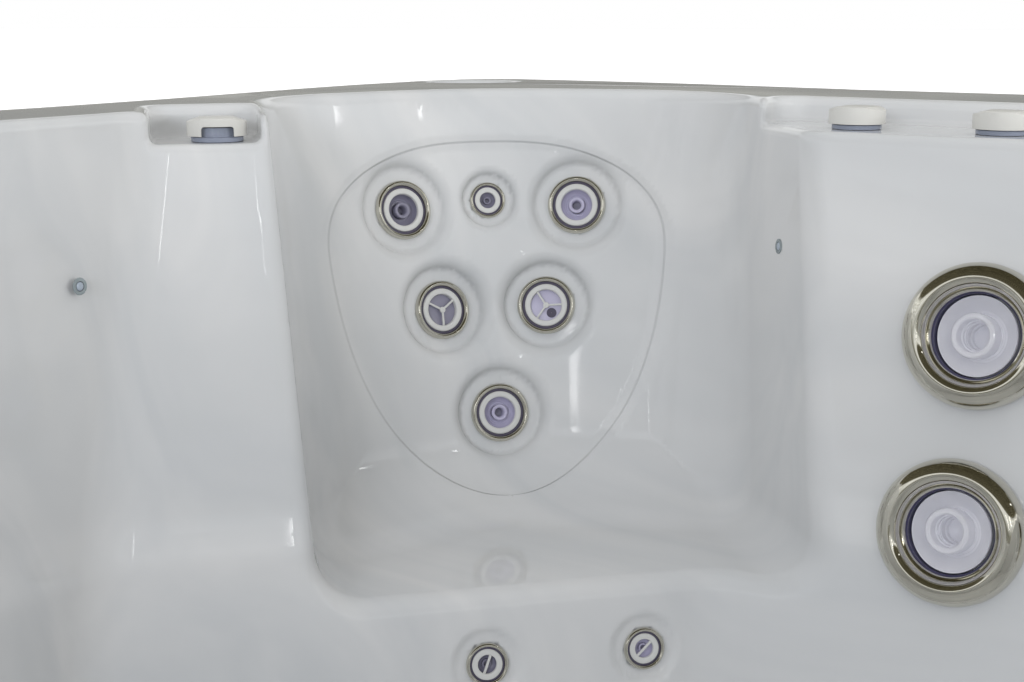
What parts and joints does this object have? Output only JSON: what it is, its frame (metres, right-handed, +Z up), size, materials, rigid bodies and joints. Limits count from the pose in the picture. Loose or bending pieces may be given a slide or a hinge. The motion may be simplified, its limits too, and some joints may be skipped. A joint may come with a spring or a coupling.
{
  "type": "swim spa",
  "caption": "Swim spa with two corner massage seats, swim jets, diverter knobs, a filter well with lid, keypad, pumps and frame in a clad cabinet",
  "frame": {"origin": "centre of the footprint, on the floor", "axes": "X across the spa, Y along it towards the jet end, Z up"},
  "size_m": [2.44, 4.27, 1.3623],
  "materials": {
    "acrylic_shell": "glossy pearl acrylic",
    "base_plastic": "textured moulded base",
    "frame_steel": "galvanised tube",
    "cabinet_boards": "satin cladding",
    "corner_trim": "satin trim",
    "screw_steel": "stainless",
    "pipe_plastic": "white pipe plastic",
    "jet_chrome": "polished stainless",
    "clear_lavender_plastic": "translucent",
    "jet_face_plastic": "satin light grey",
    "knob_plastic": "satin light grey",
    "light_lens": "clear",
    "filter_media": "pleated media",
    "trim_plastic": "satin",
    "keypad_plastic": "glossy",
    "button_plastic": "soft touch",
    "pump_plastic": "glass-filled plastic",
    "control_box_metal": "powder coat",
    "heater_steel": "stainless tube",
    "lever_plastic": "satin red"
  },
  "bodies": {
    "spa": {"base_pan": "base_plastic", "cabinet_end_panels": "cabinet_boards", "cabinet_side_panels": "cabinet_boards", "control_box": "control_box_metal", "corner_posts": "corner_trim", "diverter_valves": "pipe_plastic", "drain_valve": "pipe_plastic", "filter_cartridges": "filter_media", "frame_posts": "frame_steel", "frame_rails": "frame_steel", "heater": "heater_steel", "keypad": "keypad_plastic", "knob_collars": "clear_lavender_plastic", "light_lenses": "light_lens", "panel_screws": "screw_steel", "pumps": "pump_plastic", "riser_pipes": "pipe_plastic", "seat_jet_bodies": "pipe_plastic", "seat_jet_rings": "jet_chrome", "shell": "acrylic_shell", "skimmer_plate": "trim_plastic", "suction_covers": "trim_plastic", "swim_jet_bodies": "pipe_plastic", "swim_jet_rings": "jet_chrome"},
    "left_jet_1": {"left_jet_1": "jet_face_plastic"},
    "left_jet_2": {"left_jet_2": "jet_face_plastic"},
    "left_jet_3": {"left_jet_3": "jet_face_plastic"},
    "left_rotor_3": {"left_rotor_3": "clear_lavender_plastic"},
    "left_jet_4": {"left_jet_4": "jet_face_plastic"},
    "left_rotor_4": {"left_rotor_4": "clear_lavender_plastic"},
    "left_jet_5": {"left_jet_5": "jet_face_plastic"},
    "left_shoulder_jet": {"left_shoulder_jet": "jet_face_plastic"},
    "left_calf_jet_1": {"left_calf_jet_1": "jet_face_plastic"},
    "left_calf_jet_2": {"left_calf_jet_2": "jet_face_plastic"},
    "right_jet_1": {"right_jet_1": "jet_face_plastic"},
    "right_jet_2": {"right_jet_2": "jet_face_plastic"},
    "right_jet_3": {"right_jet_3": "jet_face_plastic"},
    "right_rotor_3": {"right_rotor_3": "clear_lavender_plastic"},
    "right_jet_4": {"right_jet_4": "jet_face_plastic"},
    "right_rotor_4": {"right_rotor_4": "clear_lavender_plastic"},
    "right_jet_5": {"right_jet_5": "jet_face_plastic"},
    "right_shoulder_jet": {"right_shoulder_jet": "jet_face_plastic"},
    "right_calf_jet_1": {"right_calf_jet_1": "jet_face_plastic"},
    "right_calf_jet_2": {"right_calf_jet_2": "jet_face_plastic"},
    "swim_nozzle_1": {"swim_nozzle_1": "clear_lavender_plastic"},
    "swim_nozzle_2": {"swim_nozzle_2": "clear_lavender_plastic"},
    "swim_nozzle_3": {"swim_nozzle_3": "clear_lavender_plastic"},
    "swim_nozzle_4": {"swim_nozzle_4": "clear_lavender_plastic"},
    "diverter_knob_1": {"diverter_knob_1": "knob_plastic"},
    "diverter_knob_2": {"diverter_knob_2": "knob_plastic"},
    "diverter_knob_3": {"diverter_knob_3": "knob_plastic"},
    "diverter_knob_4": {"diverter_knob_4": "knob_plastic"},
    "diverter_knob_5": {"diverter_knob_5": "knob_plastic"},
    "diverter_knob_6": {"diverter_knob_6": "knob_plastic"},
    "keypad_button_1": {"keypad_button_1": "button_plastic"},
    "keypad_button_2": {"keypad_button_2": "button_plastic"},
    "keypad_button_3": {"keypad_button_3": "button_plastic"},
    "filter_lid": {"filter_lid": "trim_plastic"},
    "weir_flap": {"weir_flap": "trim_plastic"},
    "drain_lever": {"drain_lever": "lever_plastic"}
  },
  "joints": [
    {"name": "left_jet_1_turn", "type": "hinge", "parent": "spa", "child": "left_jet_1", "pos_m": [-0.99679, 1.58343, 1.18012], "axis": [0.8606, -0.4385, 0.2588], "range_deg": [0, 90]},
    {"name": "left_jet_2_turn", "type": "hinge", "parent": "spa", "child": "left_jet_2", "pos_m": [-0.80378, 1.77643, 1.18012], "axis": [0.4385, -0.8606, 0.2588], "range_deg": [0, 90]},
    {"name": "left_jet_3_turn", "type": "hinge", "parent": "spa", "child": "left_jet_3", "pos_m": [-0.94221, 1.60522, 1.02812], "axis": [0.8606, -0.4385, 0.2588], "range_deg": [0, 90]},
    {"name": "left_rotor_3_spin", "type": "hinge", "parent": "left_jet_3", "child": "left_rotor_3", "pos_m": [-0.94221, 1.60522, 1.02812], "axis": [0.8606, -0.4385, 0.2588], "continuous": true},
    {"name": "left_jet_4_turn", "type": "hinge", "parent": "spa", "child": "left_jet_4", "pos_m": [-0.82557, 1.72186, 1.02812], "axis": [0.4385, -0.8606, 0.2588], "range_deg": [0, 90]},
    {"name": "left_rotor_4_spin", "type": "hinge", "parent": "left_jet_4", "child": "left_rotor_4", "pos_m": [-0.82557, 1.72186, 1.02812], "axis": [0.4385, -0.8606, 0.2588], "continuous": true},
    {"name": "left_jet_5_turn", "type": "hinge", "parent": "spa", "child": "left_jet_5", "pos_m": [-0.85813, 1.63778, 0.87012], "axis": [0.683, -0.683, 0.2588], "range_deg": [0, 90]},
    {"name": "left_shoulder_jet_turn", "type": "hinge", "parent": "spa", "child": "left_shoulder_jet", "pos_m": [-0.91839, 1.69803, 1.18812], "axis": [0.683, -0.683, 0.2588], "range_deg": [0, 90]},
    {"name": "left_calf_jet_1_turn", "type": "hinge", "parent": "spa", "child": "left_calf_jet_1", "pos_m": [-0.64968, 1.27942, 0.64938], "axis": [0.6917, -0.6917, 0.2079], "range_deg": [0, 90]},
    {"name": "left_calf_jet_2_turn", "type": "hinge", "parent": "spa", "child": "left_calf_jet_2", "pos_m": [-0.49977, 1.42932, 0.64938], "axis": [0.6917, -0.6917, 0.2079], "range_deg": [0, 90]},
    {"name": "right_jet_1_turn", "type": "hinge", "parent": "spa", "child": "right_jet_1", "pos_m": [0.99679, 1.58343, 1.18012], "axis": [-0.8606, -0.4385, 0.2588], "range_deg": [0, 90]},
    {"name": "right_jet_2_turn", "type": "hinge", "parent": "spa", "child": "right_jet_2", "pos_m": [0.80378, 1.77643, 1.18012], "axis": [-0.4385, -0.8606, 0.2588], "range_deg": [0, 90]},
    {"name": "right_jet_3_turn", "type": "hinge", "parent": "spa", "child": "right_jet_3", "pos_m": [0.94221, 1.60522, 1.02812], "axis": [-0.8606, -0.4385, 0.2588], "range_deg": [0, 90]},
    {"name": "right_rotor_3_spin", "type": "hinge", "parent": "right_jet_3", "child": "right_rotor_3", "pos_m": [0.94221, 1.60522, 1.02812], "axis": [-0.8606, -0.4385, 0.2588], "continuous": true},
    {"name": "right_jet_4_turn", "type": "hinge", "parent": "spa", "child": "right_jet_4", "pos_m": [0.82557, 1.72186, 1.02812], "axis": [-0.4385, -0.8606, 0.2588], "range_deg": [0, 90]},
    {"name": "right_rotor_4_spin", "type": "hinge", "parent": "right_jet_4", "child": "right_rotor_4", "pos_m": [0.82557, 1.72186, 1.02812], "axis": [-0.4385, -0.8606, 0.2588], "continuous": true},
    {"name": "right_jet_5_turn", "type": "hinge", "parent": "spa", "child": "right_jet_5", "pos_m": [0.85813, 1.63778, 0.87012], "axis": [-0.683, -0.683, 0.2588], "range_deg": [0, 90]},
    {"name": "right_shoulder_jet_turn", "type": "hinge", "parent": "spa", "child": "right_shoulder_jet", "pos_m": [0.91839, 1.69803, 1.18812], "axis": [-0.683, -0.683, 0.2588], "range_deg": [0, 90]},
    {"name": "right_calf_jet_1_turn", "type": "hinge", "parent": "spa", "child": "right_calf_jet_1", "pos_m": [0.64968, 1.27942, 0.64938], "axis": [-0.6917, -0.6917, 0.2079], "range_deg": [0, 90]},
    {"name": "right_calf_jet_2_turn", "type": "hinge", "parent": "spa", "child": "right_calf_jet_2", "pos_m": [0.49977, 1.42932, 0.64938], "axis": [-0.6917, -0.6917, 0.2079], "range_deg": [0, 90]},
    {"name": "swim_nozzle_1_tilt", "type": "hinge", "parent": "spa", "child": "swim_nozzle_1", "pos_m": [-0.1425, 1.61832, 1.07823], "axis": [1, 0, 0], "range_deg": [-12, 12]},
    {"name": "swim_nozzle_2_tilt", "type": "hinge", "parent": "spa", "child": "swim_nozzle_2", "pos_m": [-0.1425, 1.55947, 0.84223], "axis": [1, 0, 0], "range_deg": [-12, 12]},
    {"name": "swim_nozzle_3_tilt", "type": "hinge", "parent": "spa", "child": "swim_nozzle_3", "pos_m": [0.1425, 1.61832, 1.07823], "axis": [1, 0, 0], "range_deg": [-12, 12]},
    {"name": "swim_nozzle_4_tilt", "type": "hinge", "parent": "spa", "child": "swim_nozzle_4", "pos_m": [0.1425, 1.55947, 0.84223], "axis": [1, 0, 0], "range_deg": [-12, 12]},
    {"name": "diverter_knob_1_turn", "type": "hinge", "parent": "spa", "child": "diverter_knob_1", "pos_m": [-0.354, 1.745, 1.317], "axis": [0, 0, 1], "range_deg": [-90, 90]},
    {"name": "diverter_knob_2_turn", "type": "hinge", "parent": "spa", "child": "diverter_knob_2", "pos_m": [-0.163, 1.745, 1.317], "axis": [0, 0, 1], "range_deg": [-90, 90]},
    {"name": "diverter_knob_3_turn", "type": "hinge", "parent": "spa", "child": "diverter_knob_3", "pos_m": [0.163, 1.745, 1.317], "axis": [0, 0, 1], "range_deg": [-90, 90]},
    {"name": "diverter_knob_4_turn", "type": "hinge", "parent": "spa", "child": "diverter_knob_4", "pos_m": [0.354, 1.745, 1.317], "axis": [0, 0, 1], "range_deg": [-90, 90]},
    {"name": "diverter_knob_5_turn", "type": "hinge", "parent": "spa", "child": "diverter_knob_5", "pos_m": [-1.00454, 1.20153, 1.31], "axis": [0, 0, 1], "range_deg": [-90, 90]},
    {"name": "diverter_knob_6_turn", "type": "hinge", "parent": "spa", "child": "diverter_knob_6", "pos_m": [1.00454, 1.20153, 1.31], "axis": [0, 0, 1], "range_deg": [-90, 90]},
    {"name": "keypad_button_1_press", "type": "slide", "parent": "spa", "child": "keypad_button_1", "axis": [0, 0, -1], "range_m": [0, 0.001], "stiffness_N_per_m": 500},
    {"name": "keypad_button_2_press", "type": "slide", "parent": "spa", "child": "keypad_button_2", "axis": [0, 0, -1], "range_m": [0, 0.001], "stiffness_N_per_m": 500},
    {"name": "keypad_button_3_press", "type": "slide", "parent": "spa", "child": "keypad_button_3", "axis": [0, 0, -1], "range_m": [0, 0.001], "stiffness_N_per_m": 500},
    {"name": "filter_lid_lift", "type": "slide", "parent": "spa", "child": "filter_lid", "axis": [0, 0, 1], "range_m": [0, 0.2]},
    {"name": "weir_flap_swing", "type": "hinge", "parent": "spa", "child": "weir_flap", "pos_m": [0, -1.817, 1.175], "axis": [1, 0, 0], "range_deg": [0, 75]},
    {"name": "drain_lever_turn", "type": "hinge", "parent": "spa", "child": "drain_lever", "pos_m": [0.6936, -2.105, 0.147], "axis": [0, 0, -1], "range_deg": [0, 90]}
  ]
}
